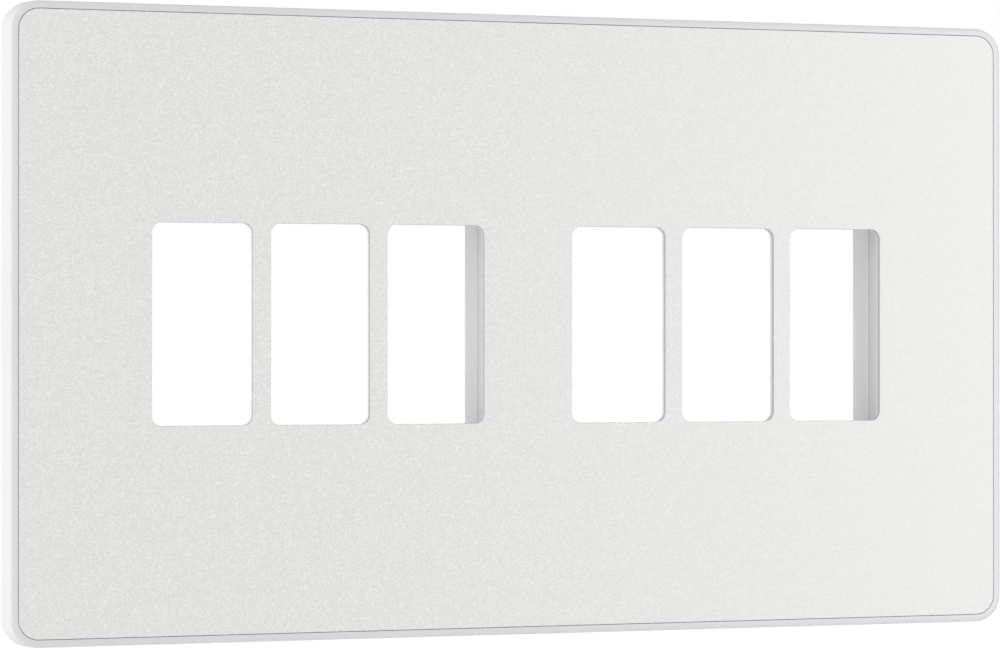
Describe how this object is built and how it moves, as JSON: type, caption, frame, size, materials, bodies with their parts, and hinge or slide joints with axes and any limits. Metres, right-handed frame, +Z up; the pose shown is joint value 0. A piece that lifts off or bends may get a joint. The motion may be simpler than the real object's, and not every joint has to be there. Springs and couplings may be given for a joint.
{
  "type": "grid switch plate",
  "caption": "Screwless wall plate for small grid switch modules: pearl white sheet with rounded windows in a white moulded cover that snaps onto a screw-fixed frame.",
  "frame": {"origin": "the point of the wall plane midway between the two fixing screws", "axes": "+X to the right along the width as seen from the front, +Z up, front facing -Y, wall plane at Y = 0"},
  "size_m": [0.151, 0.01, 0.0908],
  "materials": {
    "pearl_sheet": "pearl white, satin, with a very fine sparkle",
    "white_moulding": "white moulded plastic, satin",
    "frame_moulding": "white moulded plastic, fine matt"
  },
  "bodies": {
    "root": {"face_panel": "pearl_sheet", "surround_moulding": "white_moulding", "grid_frame": "frame_moulding"}
  },
  "joints": []
}
